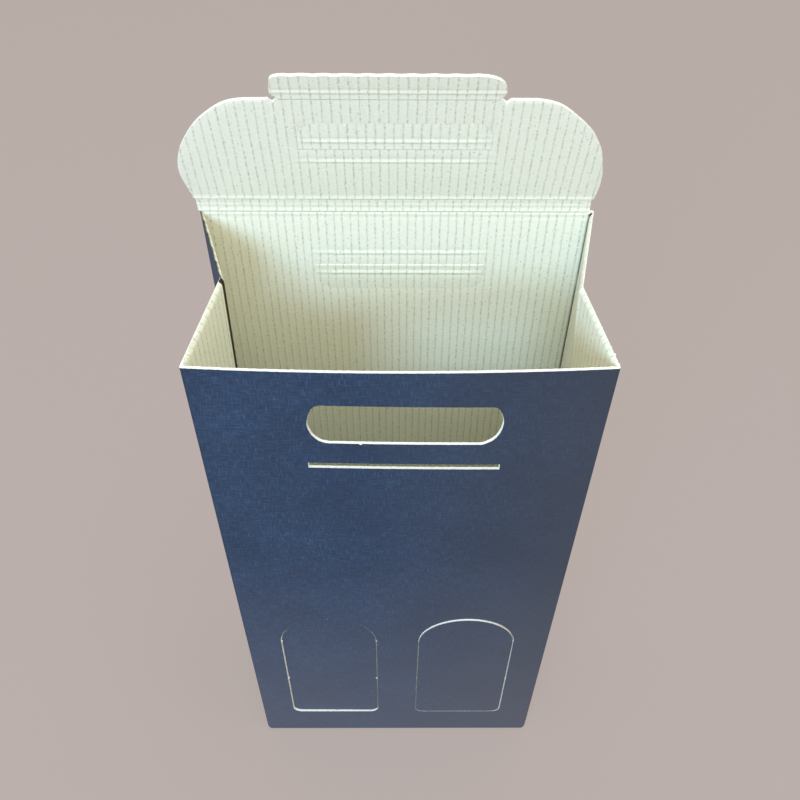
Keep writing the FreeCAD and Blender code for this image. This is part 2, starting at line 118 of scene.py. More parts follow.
def smoothThrough(knots, steps=6):
    # Catmull-Rom curve through the knots, without its last knot
    knots = [np.array(k, float) for k in knots]
    padded = [2 * knots[0] - knots[1]] + knots + [2 * knots[-1] - knots[-2]]
    points = []
    for a, b, c, d in zip(padded, padded[1:], padded[2:], padded[3:]):
        for t in np.arange(steps) / steps:
            points.append(0.5 * (2 * b + (c - a) * t + (2 * a - 5 * b + 4 * c - d) * t ** 2
                                 + (3 * b - a - 3 * c + d) * t ** 3))
    return points


def divided(polygon, step):
    points = []
    for a, b in zip(polygon, np.roll(polygon, -1, axis=0)):
        count = max(1, round(np.hypot(*(b - a)) / step))
        points += [a + (b - a) * k / count for k in range(count)]
    return np.array(points)


def inside(points, polygon):
    x, y = points[:, 0], points[:, 1]
    result = np.zeros(len(points), bool)
    for (ax, ay), (bx, by) in zip(polygon, np.roll(polygon, -1, axis=0)):
        if ay != by:
            result ^= ((ay > y) != (by > y)) & (x < ax + (y - ay) * (bx - ax) / (by - ay))
    return result


def clearOf(points, polygon, margin):
    result = np.ones(len(points), bool)
    for a, b in zip(polygon, np.roll(polygon, -1, axis=0)):
        run = b - a
        t = np.clip(((points - a) @ run) / max(run @ run, 1e-9), 0, 1)
        result &= np.hypot(*(points - a - t[:, None] * run).T) > margin
    return result


def triangulate(rims, grid):
    # fills the first rim, less the others, with triangles that use every rim point in its order
    points = np.vstack(rims + [grid])
    edges, first = [], 0
    for rim in rims:
        edges += [(first + k, first + (k + 1) % len(rim)) for k in range(len(rim))]
        first += len(rim)
    _, _, faces, origins, _, _ = delaunay_2d_cdt([Vector(p) for p in points], edges, [], 0, 1e-6)
    names = np.array([origin[0] if origin else -1 for origin in origins])
    faces = names[np.array(faces)]
    faces = faces[(faces >= 0).all(axis=1)]
    a, b, c = (points[faces[:, k]] for k in range(3))
    area = (b[:, 0] - a[:, 0]) * (c[:, 1] - a[:, 1]) - (b[:, 1] - a[:, 1]) * (c[:, 0] - a[:, 0])
    faces[area < 0] = faces[area < 0][:, ::-1]
    middle = (a + b + c) / 3
    keep = inside(middle, rims[0]) & (abs(area) > 1e-9)
    for rim in rims[1:]:
        keep &= ~inside(middle, rim)
    return points, faces[keep]


def gridPoints(rims, columns, rows, margin):
    mesh = np.array(np.meshgrid(columns, rows)).reshape(2, -1).T
    mesh = mesh[inside(mesh, rims[0]) & clearOf(mesh, rims[0], margin)]
    for rim in rims[1:]:
        mesh = mesh[~inside(mesh, rim) & clearOf(mesh, rim, margin)]
    return mesh


def makeObject(name, points, faces, finishes, materials, flat=None, sharp=40):
    mesh = bpy.data.meshes.new(name)
    mesh.from_pydata((np.asarray(points) * mm).tolist(), [], [list(map(int, f)) for f in faces])
    mesh.polygons.foreach_set("material_index", np.asarray(finishes, np.int32))
    mesh.polygons.foreach_set("use_smooth", np.ones(len(faces), bool))
    for material in materials:
        mesh.materials.append(material)
    if flat is not None:
        layer = mesh.uv_layers.new(name="flat")
        corner = np.empty(len(mesh.loops), np.int32)
        mesh.loops.foreach_get("vertex_index", corner)
        layer.data.foreach_set("uv", (np.asarray(flat)[corner] * mm).astype(np.float32).ravel())
    mesh.set_sharp_from_angle(angle=math.radians(sharp))
    made = bpy.data.objects.new(name, mesh)
    bpy.context.collection.objects.link(made)
    return made


def crushed(points, rims, held):
    # how far a die-cut board is pressed thinner beside each free edge
    tree = KDTree(sum(map(len, rims)))
    for index, point in enumerate(np.vstack(rims)[np.concatenate(held) == 0]):
        tree.insert((point[0], point[1], 0), index)
    tree.balance()
    gaps = np.array([tree.find((x, y, 0))[2] for x, y in points])
    return board["crush"] * bump(gaps, board["crushReach"])


def sheetObject(name, rims, place, materials, columns, rows, coarse, facing=1, joined=None, relief=None,
                grooveAndPaintedShade=None):
    # place(u, v, depth) puts a flat point, at a depth below the blue face, where the folded board has it
    noise = board["edgeNoise"]
    rims = [divided(rim, board["edgeStep"]) for rim in rims]
    # joined(rim) gives 0 for a free cut edge, 1 for one that stays smooth and 2 for one that is welded
    held = [joined(rim) if joined else np.zeros(len(rim), int) for rim in rims]
    rims = [rim + np.where(fixed[:, None] > 0, 0, dice.uniform(-noise, noise, rim.shape))
            for rim, fixed in zip(rims, held)]
    rimCount = sum(map(len, rims))
    outerFlat, outerFaces = triangulate(rims, gridPoints(rims, *coarse, 0.6))
    innerFlat, innerFaces = triangulate(rims, gridPoints(rims, columns, rows, 0.25))
    ups = relief(innerFlat[:, 0], innerFlat[:, 1]) - crushed(innerFlat, rims, held)
    depth = board["thickness"]
    shares = [np.zeros(len(outerFlat)), np.ones(len(innerFlat))]
    points = [place(outerFlat[:, 0], outerFlat[:, 1], np.zeros(len(outerFlat))),
              place(innerFlat[:, 0], innerFlat[:, 1], depth + ups)]
    flats = [outerFlat, innerFlat]
    innerStart = len(outerFlat)
    # the cut edge: three rings between the two liners, the middle drawn in where the knife crushed it
    flatRims = np.vstack(rims)
    following = np.concatenate([np.roll(np.arange(len(rim)), -1) for rim in rims])
    starts = np.repeat(np.cumsum([0] + [len(rim) for rim in rims[:-1]]), [len(rim) for rim in rims])
    following = following + starts
    previous = np.empty(rimCount, int)
    previous[following] = np.arange(rimCount)
    run = flatRims[following] - flatRims[previous]
    signs = np.concatenate([np.full(len(rim), 1.0 if signedArea(rim) > 0 else -1.0) for rim in rims])
    order = np.concatenate([np.full(len(rim), 1.0 if k == 0 else -1.0) for k, rim in enumerate(rims)])
    outward = np.stack([run[:, 1], -run[:, 0]], 1) / np.maximum(np.hypot(*run.T), 1e-9)[:, None]
    outward *= (signs * order)[:, None]
    welded, fixed = np.concatenate(held) > 1, np.concatenate(held) > 0
    rings = [np.arange(rimCount)]
    total = innerStart + len(innerFlat)
    for share, draw in ((0.2, 0.02), (0.5, -0.16), (0.8, 0.02)):
        shift = np.where(fixed, 0, draw + dice.uniform(-noise, noise, rimCount))
        ring = flatRims + outward * shift[:, None]
        ringUps = ups[:rimCount] * share
        points.append(place(ring[:, 0], ring[:, 1], depth * share + ringUps))
        flats.append(flatRims)
        shares.append(np.full(rimCount, share))
        rings.append(total + np.arange(rimCount))
        total += rimCount
    rings.append(innerStart + np.arange(rimCount))
    strips = []
    edge = np.stack([np.arange(rimCount), following], 1)
    edge = edge[~(welded[edge[:, 0]] & welded[edge[:, 1]])]
    turnRound = (signs * order)[edge[:, 0]] < 0
    edge[turnRound] = edge[turnRound][:, ::-1]
    for upper, lower in zip(rings, rings[1:]):
        first, second = edge[:, 0], edge[:, 1]
        strips.append(np.stack([upper[second], upper[first], lower[first], lower[second]], 1))
    strips = np.vstack(strips)
    innerFaces = innerFaces[:, ::-1] + innerStart
    if facing < 0:
        outerFaces, innerFaces, strips = outerFaces[:, ::-1], innerFaces[:, ::-1], strips[:, ::-1]
    faces = outerFaces.tolist() + innerFaces.tolist() + strips.tolist()
    finishes = [0] * len(outerFaces) + [1] * len(innerFaces) + [2] * len(strips)
    flats = np.vstack(flats)
    made = makeObject(name, np.vstack(points), faces, finishes, materials, flats)
    # a point attribute of painted shade: how much the liner and cut edge are darkened where they lie in
    # shadow
    if grooveAndPaintedShade:
        dark = made.data.attributes.new("grooveAndPaintedShade", "FLOAT", "POINT")
        split = grooveAndPaintedShade(flats[:, 0], flats[:, 1], np.concatenate(shares))
        dark.data.foreach_set("value", split.astype(np.float32))
    if welded.any():
        weldRims(made)
    print("made", name, len(outerFaces) + len(innerFaces) + 2 * len(strips), "triangles")
    return made


def weldRims(made):
    work = bmesh.new()
    work.from_mesh(made.data)
    bmesh.ops.remove_doubles(work, verts=[v for v in work.verts if v.is_boundary], dist=1e-7)
    bmesh.ops.dissolve_degenerate(work, edges=[e for e in work.edges if e.calc_length() < 1e-7], dist=1e-7)
    work.to_mesh(made.data)
    work.free()


def signedArea(polygon):
    after = np.roll(polygon, -1, axis=0)
    return float(np.sum(polygon[:, 0] * after[:, 1] - after[:, 0] * polygon[:, 1])) / 2


def bump(distance, width):
    return np.exp(-(distance / width) ** 2)


def washboard(u):
    return board["fluteRelief"] * np.cos(2 * math.pi * u / board["flutePitch"])


def scoreRelief(v, level, height=0.42, width=0.75):
    # an inner-side bead with a shallow groove on each side
    grooves = bump(v - level - 1.7, width) + bump(v - level + 1.7, width)
    return height * bump(v - level, width) - 0.16 * grooves


def spread(low, high, step):
    return np.linspace(low, high, max(2, round((high - low) / step) + 1))


# Materials
def linear(hexColour):
    parts = [int(hexColour[k:k + 2], 16) / 255 for k in (1, 3, 5)]
    return tuple(p / 12.92 if p <= 0.04045 else ((p + 0.055) / 1.055) ** 2.4 for p in parts) + (1.0,)


def addNode(tree, kind, values=None, links=None, **settings):
    node = tree.nodes.new(kind)
    for key, value in settings.items():
        setattr(node, key, value)
    for key, value in (values or {}).items():
        node.inputs[key].default_value = value
    for key, source in (links or {}).items():
        tree.links.new(source, node.inputs[key])
    return node


def newMaterial(name):
    material = bpy.data.materials.new(name)
    material.use_nodes = True
    tree = material.node_tree
    tree.nodes.clear()
    return material, tree


linenPaper = {
    "blue": "#233A55",
    "thread": "#365473",
    "deep": "#1A2B42",
    "grey": "#3A3C42",  # the blue turns greyer to the right
    "paintedFloorGlare": "#716F76",  # and paler towards the foot: painted glare, standing in for the floor's light reflected at a grazing angle
    "threadSpacing": 0.6,  # the real 0.4 mm threads would not show, so they are drawn half as coarse again
    "threadLength": 6.0,
    "roughness": 0.66,
}


def makeLinenPaper(look):
    # Linen-embossed, matt-coated paper: a dark blue that breaks into short crossed threads
    material, tree = newMaterial("linenEmbossedPaper")
    flat = addNode(tree, "ShaderNodeUVMap", uv_map="flat").outputs["UV"]
    fine, long = 1 / (look["threadSpacing"] * mm), 1 / (look["threadLength"] * mm)
    streaks = []
    for scale in ((long, fine, 1), (fine, long, 1)):
        stretched = addNode(tree, "ShaderNodeMapping", {"Scale": scale}, {"Vector": flat})
        streaks.append(addNode(tree, "ShaderNodeTexNoise",
                               {"Scale": 1.0, "Detail": 2.0, "Roughness": 0.55, "Distortion": 0.15},
                               {"Vector": stretched.outputs["Vector"]}).outputs["Fac"])
    weave = addNode(tree, "ShaderNodeMath", links={0: streaks[0], 1: streaks[1]}, operation="MAXIMUM")
    blotch = addNode(tree, "ShaderNodeTexNoise", {"Scale": 22.0, "Detail": 3.0}, {"Vector": flat})
    mixed = addNode(tree, "ShaderNodeMath", {1: 0.25}, {0: blotch.outputs["Fac"], 2: weave.outputs[0]},
                    operation="MULTIPLY_ADD")
    ramp = addNode(tree, "ShaderNodeValToRGB", links={"Fac": mixed.outputs[0]})
    ramp.color_ramp.elements[0].position = 0.52
    ramp.color_ramp.elements[0].color = linear(look["deep"])
    ramp.color_ramp.elements[1].position = 0.92
    ramp.color_ramp.elements[1].color = linear(look["thread"])
    middle = ramp.color_ramp.elements.new(0.70)
    middle.color = linear(look["blue"])
    place = addNode(tree, "ShaderNodeSeparateXYZ",
                    links={0: addNode(tree, "ShaderNodeTexCoord").outputs["Object"]})
    aside = addNode(tree, "ShaderNodeMapRange", {"From Min": -0.02, "From Max": 0.10, "To Max": 0.72},
                    {"Value": place.outputs["X"]})
    # painted glare: the blue paler towards the foot, where the floor's light would reflect at a grazing angle
    low = addNode(tree, "ShaderNodeMapRange", {"From Min": 0.24, "From Max": 0.0, "To Max": 0.4},
                  {"Value": place.outputs["Z"]})
    colour = mixColour(tree, ramp.outputs["Color"], linear(look["grey"]), aside.outputs[0])
    colour = mixColour(tree, colour, linear(look["paintedFloorGlare"]), low.outputs[0])
    relief = addNode(tree, "ShaderNodeBump", {"Strength": 0.35, "Distance": 0.00012},
                     {"Height": weave.outputs[0]})
    skin = addNode(tree, "ShaderNodeBsdfPrincipled", {"Roughness": look["roughness"], "IOR": 1.47},
                   {"Base Color": colour, "Normal": relief.outputs["Normal"]})
    addNode(tree, "ShaderNodeOutputMaterial", links={"Surface": skin.outputs[0]})
    return material


paintedShadeLook = {"dark": "#35290F"}  # painted shade: the dark brown put on the liner and cut edge where the left crease, the left top edge and the right back corner lie in shadow


# how much painted shade a point gets, read from its attribute
def paintedShadeShare(tree):
    return addNode(tree, "ShaderNodeAttribute", attribute_name="grooveAndPaintedShade").outputs["Fac"]


creamLiner = {
    "cream": "#FCFAE9",
    "shade": "#DEDCC4",
    "fluteLine": "#BCBCA2",
    "speck": "#9A9A80",
    "lineWidth": 0.17,  # share of the pitch that a glue line darkens
    "roughness": 0.85,
}


def makeCreamLiner(look):
    # Uncoated cream testliner: dotted glue lines over each flute, fine fibre mottle and dark specks
    material, tree = newMaterial("creamTestliner")
    flat = addNode(tree, "ShaderNodeUVMap", uv_map="flat").outputs["UV"]
    split = addNode(tree, "ShaderNodeSeparateXYZ", links={0: flat})
    wobble = addNode(tree, "ShaderNodeTexNoise", {"Scale": 160.0, "Detail": 2.0}, {"Vector": flat})
    across = addNode(tree, "ShaderNodeMath", {1: 1 / (board["flutePitch"] * mm)}, {0: split.outputs["X"]},
                     operation="MULTIPLY")
    shaken = addNode(tree, "ShaderNodeMath", {1: 0.22}, {0: wobble.outputs["Fac"], 2: across.outputs[0]},
                     operation="MULTIPLY_ADD")
    folded = addNode(tree, "ShaderNodeMath", {1: 0.5}, {0: shaken.outputs[0]}, operation="PINGPONG")
    line = addNode(tree, "ShaderNodeMapRange", {"From Min": 0.0, "From Max": look["lineWidth"], "To Min": 1.0,
                                                "To Max": 0.0}, {"Value": folded.outputs[0]},
                   interpolation_type="SMOOTHSTEP")
    stretched = addNode(tree, "ShaderNodeMapping", {"Scale": (330, 620, 1)}, {"Vector": flat})
    dots = addNode(tree, "ShaderNodeTexNoise", {"Scale": 1.0, "Detail": 1.0},
                   {"Vector": stretched.outputs[0]})
    broken = addNode(tree, "ShaderNodeMapRange", {"From Min": 0.32, "From Max": 0.72, "To Min": 0.12},
                     {"Value": dots.outputs["Fac"]})
    dotted = addNode(tree, "ShaderNodeMath", links={0: line.outputs[0], 1: broken.outputs[0]},
                     operation="MULTIPLY")
    fibre = addNode(tree, "ShaderNodeTexNoise", {"Scale": 620.0, "Detail": 4.0, "Roughness": 0.75},
                    {"Vector": flat})
    ground = mixColour(tree, linear(look["shade"]), linear(look["cream"]), fibre.outputs["Fac"])
    lined = mixColour(tree, ground, linear(look["fluteLine"]), dotted.outputs[0])
    cells = addNode(tree, "ShaderNodeTexNoise", {"Scale": 950.0, "Detail": 0.0}, {"Vector": flat})
    specks = addNode(tree, "ShaderNodeMapRange", {"From Min": 0.76, "From Max": 0.82, "To Max": 0.7},
                     {"Value": cells.outputs["Fac"]})
    speckled = mixColour(tree, lined, linear(look["speck"]), specks.outputs[0])
    # painted shade: dark brown where the left crease, left top edge and right back corner lie in shadow
    speckled = mixColour(tree, speckled, linear(paintedShadeLook["dark"]), paintedShadeShare(tree))
    relief = addNode(tree, "ShaderNodeBump", {"Strength": 0.25, "Distance": 0.0001},
                     {"Height": fibre.outputs["Fac"]})
    skin = addNode(tree, "ShaderNodeBsdfPrincipled", {"Roughness": look["roughness"], "IOR": 1.45},
                   {"Base Color": speckled, "Normal": relief.outputs["Normal"]})
    addNode(tree, "ShaderNodeOutputMaterial", links={"Surface": skin.outputs[0]})
    return material


def mixColour(tree, first, second, share):
    node = tree.nodes.new("ShaderNodeMix")
    node.data_type = "RGBA"
    for socket, source in ((node.inputs[6], first), (node.inputs[7], second), (node.inputs[0], share)):
        if isinstance(source, bpy.types.NodeSocket):
            tree.links.new(source, socket)
        else:
            socket.default_value = source
    return node.outputs[2]


cutFibre = {"white": "#F4F4EE", "crushed": "#D9D8CC", "roughness": 0.9}


def makeCutFibre(look):
    # Knife-cut board: open white fibres, a little grey where the flutes are crushed
    material, tree = newMaterial("knifeCutFibre")
    flat = addNode(tree, "ShaderNodeUVMap", uv_map="flat").outputs["UV"]
    fibre = addNode(tree, "ShaderNodeTexNoise", {"Scale": 700.0, "Detail": 3.0}, {"Vector": flat})
    colour = mixColour(tree, linear(look["crushed"]), linear(look["white"]), fibre.outputs["Fac"])
    # painted shade: dark brown where the left crease, left top edge and right back corner lie in shadow
    colour = mixColour(tree, colour, linear(paintedShadeLook["dark"]), paintedShadeShare(tree))
    skin = addNode(tree, "ShaderNodeBsdfPrincipled", {"Roughness": look["roughness"], "IOR": 1.45},
                   {"Base Color": colour})
    addNode(tree, "ShaderNodeOutputMaterial", links={"Surface": skin.outputs[0]})
    return material


linen = makeLinenPaper(linenPaper)
cream = makeCreamLiner(creamLiner)
fibreEdge = makeCutFibre(cutFibre)
skins = [linen, cream, fibreEdge]
print("materials made")

# The walls: one strip of board, folded round four corners and two side creases
carton = {
    "width": 183.2,
    "depth": 93.2,
    "height": 388.0,
    "backRise": 7.4,
    "foldRadius": 0.9,
    "footRadius": 2.4,
    "bowLevel": 250.0,
    "bow": 2.9,
    "push": {"left": (10.0, 12.0), "right": (1.0, 11.0)},  # inward fold of a side at bowLevel and at the top
    "creaseShift": {"left": 3.5, "right": -1.5},
    "backShift": {"left": -2.0, "right": -0.2},
    "topCrush": 0.95,  # how much thinner the side walls' tops are pressed
    "topCrushReach": 1.3,
    "creaseRise": {"left": 4.0, "right": 3.6},  # of the top edge above the front's, at a side's crease
    "cornerGive": 0.15,  # share of the back panel, beside its right corner, that takes up the shift
    "floorLevel": 3.2,
    "nickLevels": (353.0, 333.0, 289.0),  # levels where uncut nicks break the right corner's painted shade line
}
bends = np.cumsum([0, carton["width"], carton["depth"] / 2, carton["depth"] / 2, carton["width"],
                   carton["depth"] / 2, carton["depth"] / 2])  # where the strip folds, along its length
sharpFolds = np.array([True, True, False, True, True, False])
cornerZone = 1.3  # half of the strip's length that each corner takes
topLevel = carton["height"] + carton["backRise"]
# the top edge along the strip: level at the front, and sloping up both sides to the back panel
topKnots = np.array([
    (0, carton["height"]), (bends[1] + board["thickness"], carton["height"]),
    (bends[2], carton["height"] + carton["creaseRise"]["right"]), (bends[3] - board["thickness"], topLevel),
    (bends[4] + board["thickness"], topLevel), (bends[5], carton["height"] + carton["creaseRise"]["left"]),
    (bends[6] - board["thickness"], carton["height"]), (bends[6], carton["height"]),
])


def wallTop(s):
    return np.interp(s, topKnots[:, 0], topKnots[:, 1])


def sidePush(side, z):
    low, high = carton["push"][side]
    return np.interp(z, [carton["floorLevel"], carton["bowLevel"], topLevel], [0, low, high])


def cornerPoints(z):
    reach, deep = carton["width"] / 2, carton["depth"] / 2
    share = z / topLevel
    rack = {side: shift * share for side, shift in carton["backShift"].items()}
    crease = {side: shift * share for side, shift in carton["creaseShift"].items()}
    return [np.stack(pair, 1) for pair in (
        (0 * z - reach, 0 * z - deep), (0 * z + reach, 0 * z - deep),
        (reach - sidePush("right", z), crease["right"]), (reach + rack["right"], 0 * z + deep),
        (rack["left"] - reach, 0 * z + deep), (sidePush("left", z) - reach, crease["left"]),
    )]


def wallPoint(s, z, inset):
    # the point of the folded strip at the length s and the height z, inside its blue face by inset
    corners = cornerPoints(z)
    runs = [corners[(k + 1) % 6] - corners[k] for k in range(6)]
    ways = [run / np.hypot(*run.T)[:, None] for run in runs]
    normals = [np.stack([way[:, 1], -way[:, 0]], 1) for way in ways]
    low = 1 - np.clip(z / 8, 0, 1)
    radius = np.maximum(carton["foldRadius"] + 1.8 * low * low * (3 - 2 * low), inset + 0.1)
    result = np.zeros((len(s), 2))
    for k in range(6):
        begin, end = bends[k], bends[k + 1]
        here = (s >= begin) & (s <= end) if k == 5 else (s >= begin) & (s < end)
        if not here.any():
            continue
        following, before = (k + 1) % 6, (k - 1) % 6
        ends = []
        for corner, first, second in ((k, before, k), (following, k, following)):
            turn = np.sum(normals[first] * normals[second], 1)
            mitre = (normals[first] + normals[second]) / (1 + turn)[:, None]
            reach = radius if sharpFolds[corner] else 0 * radius
            hub = corners[corner] - mitre * reach[:, None]
            if sharpFolds[corner]:
                ends.append((hub, hub + normals[k] * (reach - inset)[:, None]))
            else:
                ends.append((hub, hub - mitre * inset[:, None]))
        startZone = cornerZone if sharpFolds[k] else 0
        endZone = cornerZone if sharpFolds[following] else 0
        along = np.clip((s - begin - startZone) / (end - startZone - begin - endZone), 0, 1)
        flatPart = ends[0][1] + (ends[1][1] - ends[0][1]) * along[:, None]
        if k == 0:
            bow = carton["bow"] * np.clip((z - carton["bowLevel"]) / (topLevel - carton["bowLevel"]), 0, 1)
            flatPart[:, 1] -= bow * (1 - (2 * along - 1) ** 2)
        if k == 3:  # the back panel gives way only beside its right corner
            spare = (carton["backShift"]["right"] - carton["backShift"]["left"]) * z / topLevel
            flatPart[:, 0] -= spare * (1 - along - np.clip(1 - along / carton["cornerGive"], 0, 1))
        placed = flatPart
        for corner, zone, offset, first, second in ((k, startZone, s - begin, before, k),
                                                    (following, endZone, s - end, k, following)):
            if zone == 0:
                continue
            turning = np.abs(offset) < zone
            share = 0.5 + offset / (2 * zone)
            angle = np.arccos(np.clip(np.sum(normals[first] * normals[second], 1), -1, 1))
            weightA, weightB = np.sin((1 - share) * angle), np.sin(share * angle)
            blend = normals[first] * weightA[:, None] + normals[second] * weightB[:, None]
            blend /= np.maximum(np.hypot(*blend.T), 1e-9)[:, None]
            hub = ends[0][0] if corner == k else ends[1][0]
            rounded = hub + blend * (radius - inset)[:, None]
            placed = np.where(turning[:, None], rounded, placed)
        result[here] = placed[here]
    return np.column_stack([result, z])


def placeWall(s, v, depth):
    radius = carton["footRadius"]
    angle = np.clip((radius - v) / radius, 0, math.pi / 2)
    straight = v >= radius
    z = np.where(straight, v, radius - (radius - depth) * np.sin(angle))
    inset = np.where(straight, depth, radius - (radius - depth) * np.cos(angle))
    return wallPoint(s, z, inset)


hinge = {
    "setback": 0.86,  # a panel's end stands this far from the next crease's axis
    "lowerAxis": (45.8, 396.35),  # y and z of the lid's lower crease
}
grips = {
    "reach": 41.5,
    "corner": 9.0,
    "gap": 0.06,  # half of what the knife leaves open
    "scoreFar": 26.0,
    "hinge": 34.3,
    "scoreNear": 38.9,
    "cut": 49.8,
    "middle": 2.2,  # sideways place on its panel
}
front = {
    "holeHeight": 27.0, "holeDrop": 22.3, "holeShift": 2.2,
    "holeEnds": {  # across and up from the hole's middle, clockwise from the right end's top
        "right": [(38.0, 13.5), (40.3, 12.6), (42.0, 9.5), (43.2, 4.7), (43.4, 0.0), (42.0, -5.9),
                  (39.4, -10.4), (35.5, -13.2), (33.0, -13.5)],
        "left": [(-33.0, -13.5), (-36.0, -13.1), (-39.0, -11.2), (-41.7, -7.0), (-43.1, -1.3), (-42.8, 2.8),
                 (-41.6, 8.2), (-39.8, 11.8), (-37.2, 13.4), (-35.5, 13.5)],
    },
    "shear": -0.017,  # the die cut stands a little askew
    "slotLength": 88.8, "slotHeight": 3.9, "slotDrop": 64.7,
}
window = {
    "width": 58.0, "spring": 139.0, "foot": 32.0, "corner": 6.0, "centre": 41.6, "kerf": 0.5,
}


def archOutline(middle, inset):
    reach, low, corner = window["width"] / 2 - inset, window["foot"] + inset, window["corner"]
    return outlineFrom([
        (middle - reach + corner, low), (middle + reach - corner, low, corner),
        (middle + reach, low + corner), (middle + reach, window["spring"], reach),
        (middle - reach, window["spring"]), (middle - reach, low + corner, corner),
    ])


def gripOutline(middle, grow, hingeLevel, cut):
    left, right = middle - grips["reach"] - grow, middle + grips["reach"] + grow
    corner = grips["corner"] + grow
    if cut > hingeLevel:
        return outlineFrom([(left, hingeLevel), (right, hingeLevel), (right, cut - corner, corner),
                            (right - corner, cut), (left + corner, cut, corner), (left, cut - corner)])
    return outlineFrom([(right, hingeLevel), (left, hingeLevel), (left, cut + corner, corner),
                        (left + corner, cut), (right - corner, cut, corner), (right, cut + corner)])


def makeWalls():
    length, top = bends[-1], carton["height"]
    footStart = carton["footRadius"] * (1 - math.pi / 2)
    rim = np.vstack([[(0, footStart), (length, footStart)], topKnots[::-1]])
    centre = carton["width"] / 2
    ends = front["holeEnds"]
    hole = np.array(smoothThrough(ends["right"]) + [np.array(ends["right"][-1])]
                    + smoothThrough(ends["left"]) + [np.array(ends["left"][-1])])[::-1]
    hole[:, 1] += front["shear"] * hole[:, 0]
    hole += [centre + front["holeShift"], top - front["holeDrop"] - front["holeHeight"] / 2]
    slotLeft, slotRight = (centre + front["holeShift"] + way * front["slotLength"] / 2 for way in (-1, 1))
    slotLow = top - front["slotDrop"] - front["slotHeight"]
    slot = np.array([(slotLeft, slotLow), (slotRight, slotLow), (slotRight, slotLow + front["slotHeight"]),
                     (slotLeft, slotLow + front["slotHeight"])])
    slot[:, 1] += front["shear"] * (slot[:, 0] - centre - front["holeShift"])
    windows = [archOutline(centre + way * window["centre"], 0) for way in (-1, 1)]
    # the back panel reads from right to left along the strip, so a place to the right comes first
    backCentre = (bends[3] + bends[4]) / 2
    fold = hinge["lowerAxis"][1]
    backGrip = gripOutline(backCentre - grips["middle"], grips["gap"],
                           fold - grips["hinge"] + hinge["setback"], fold - grips["cut"] - grips["gap"])

    def onSeam(points):
        ends = (points[:, 0] < 1e-6) | (points[:, 0] > length - 1e-6)
        return np.where(ends, 2, np.where(points[:, 1] < footStart + 1e-6, 1, 0))

    def relief(s, v):
        ups = washboard(s)
        for crease in (bends[2], bends[5]):
            ups = ups + 0.30 * bump(s - crease, 0.8)
        ups = ups - 0.35 * grooveAndPaintedShade(s, v, 1.0)
        onGrip = np.clip(3 - np.abs(s - backCentre + grips["middle"]) / (grips["reach"] - 4) * 2.4, 0, 1)
        onBack = (s > bends[3]) & (s < bends[4])
        onSide = np.interp(s, [bends[1], bends[1] + 6, bends[3] - 1, bends[3], bends[4], bends[4] + 1,
                               bends[6] - 6, bends[6]], [0, 1, 1, 0, 0, 1, 1, 0])
        return (ups + onGrip * scoreRelief(v, fold - grips["scoreFar"])
                + (bump(v - 394.6, 0.9) * 0.30 - bump(v - 392.4, 0.9) * 0.14) * onBack
                - carton["topCrush"] * bump(wallTop(s) - v, carton["topCrushReach"]) * onSide)

    def grooveAndPaintedShade(s, v, share):
        # painted shade: marks a dark brown line along the left crease, the left top edge and the right back
        # corner, where they lie in shadow; the same mask sinks a shallow groove into the liner
        ridge = np.clip((1.5 - np.abs(s - bends[5] - 0.7)) / 0.3, 0, 1) * (share == 1) * (v > 12)
        edge = ((share > 0.4) & (v > wallTop(s) - 0.7) & (s > bends[4] + 1) & (s < bends[5] + 0.3)) * 1.0
        nicks = sum(bump(v - level, 1.1) for level in carton["nickLevels"])
        corner = np.clip((2.15 - np.abs(s - bends[3])) / 0.5, 0, 1) * (share == 1) * np.clip(1 - nicks, 0, 1)
        return np.clip(np.maximum(np.maximum(ridge, edge), corner * (v < topLevel - 0.7)), 0, 1)

    fluteStep = board["flutePitch"] / board["columns"]
    columns = spread(fluteStep, length - fluteStep, fluteStep)
    splits = np.concatenate([bends[5] + np.array([0, 0.4, 0.8, 1.2, 1.6, 1.9, 2.2]),
                             bends[3] + np.array([-2.3, -1.9, 1.9, 2.3])])
    columns = np.unique(np.round(np.concatenate([columns, splits]), 3))
    offsets = (-cornerZone, -0.9, -0.45, 0, 0.45, 0.9, cornerZone)
    zones = [bends[k] + offset for k in range(7) for offset in offsets]
    outerColumns = np.unique(np.round(np.concatenate([spread(3, length - 3, board["outerStep"]), zones]), 2))
    outerColumns = outerColumns[(outerColumns > 0.3) & (outerColumns < length - 0.3)]
    footRows = [-0.9, -0.3, 0.3, 0.9, 1.5, 2.1]
    scoreRows = fold - grips["scoreFar"] + np.linspace(-3, 3, 11)
    topRows = np.linspace(391.5, 395, 6)
    sideRows = [386.0, 387.0, 388.4, 389.3, 390.4]
    rows = np.unique(np.round(np.concatenate([footRows, spread(6, 384, board["rowStep"]), scoreRows, sideRows,
                                              topRows]), 2))
    outerRows = np.unique(np.round(np.concatenate([footRows, spread(6, 386, board["outerStep"] * 1.6),
                                                   [389.0], topRows]), 2))
    made = sheetObject("foldedWalls", [rim, hole, slot] + windows + [backGrip], placeWall, skins,
                       columns, rows, (outerColumns, outerRows), joined=onSeam, relief=relief, grooveAndPaintedShade=grooveAndPaintedShade)
    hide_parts("carton")
    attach(made, "box")


makeWalls()


# The bottom: two long flaps outside with a stepped seam, a second layer, and two dust flaps inside
bottom = {
    "reachX": 89.1,
    "reachY": 44.1,
    "seamStep": 34.0,
    "seamOffset": 9.0,
    "seamWidth": 0.8,
    "backLift": 0.15,  # the tucked flap lies a touch higher
    "dustReach": 62.0,
    "dustTaper": 26.0,
    "gridStep": 6.0,
}


def flatPlace(lift):
    def place(u, v, depth):
        return np.column_stack([u, v, lift + depth + 0 * u])
    return place


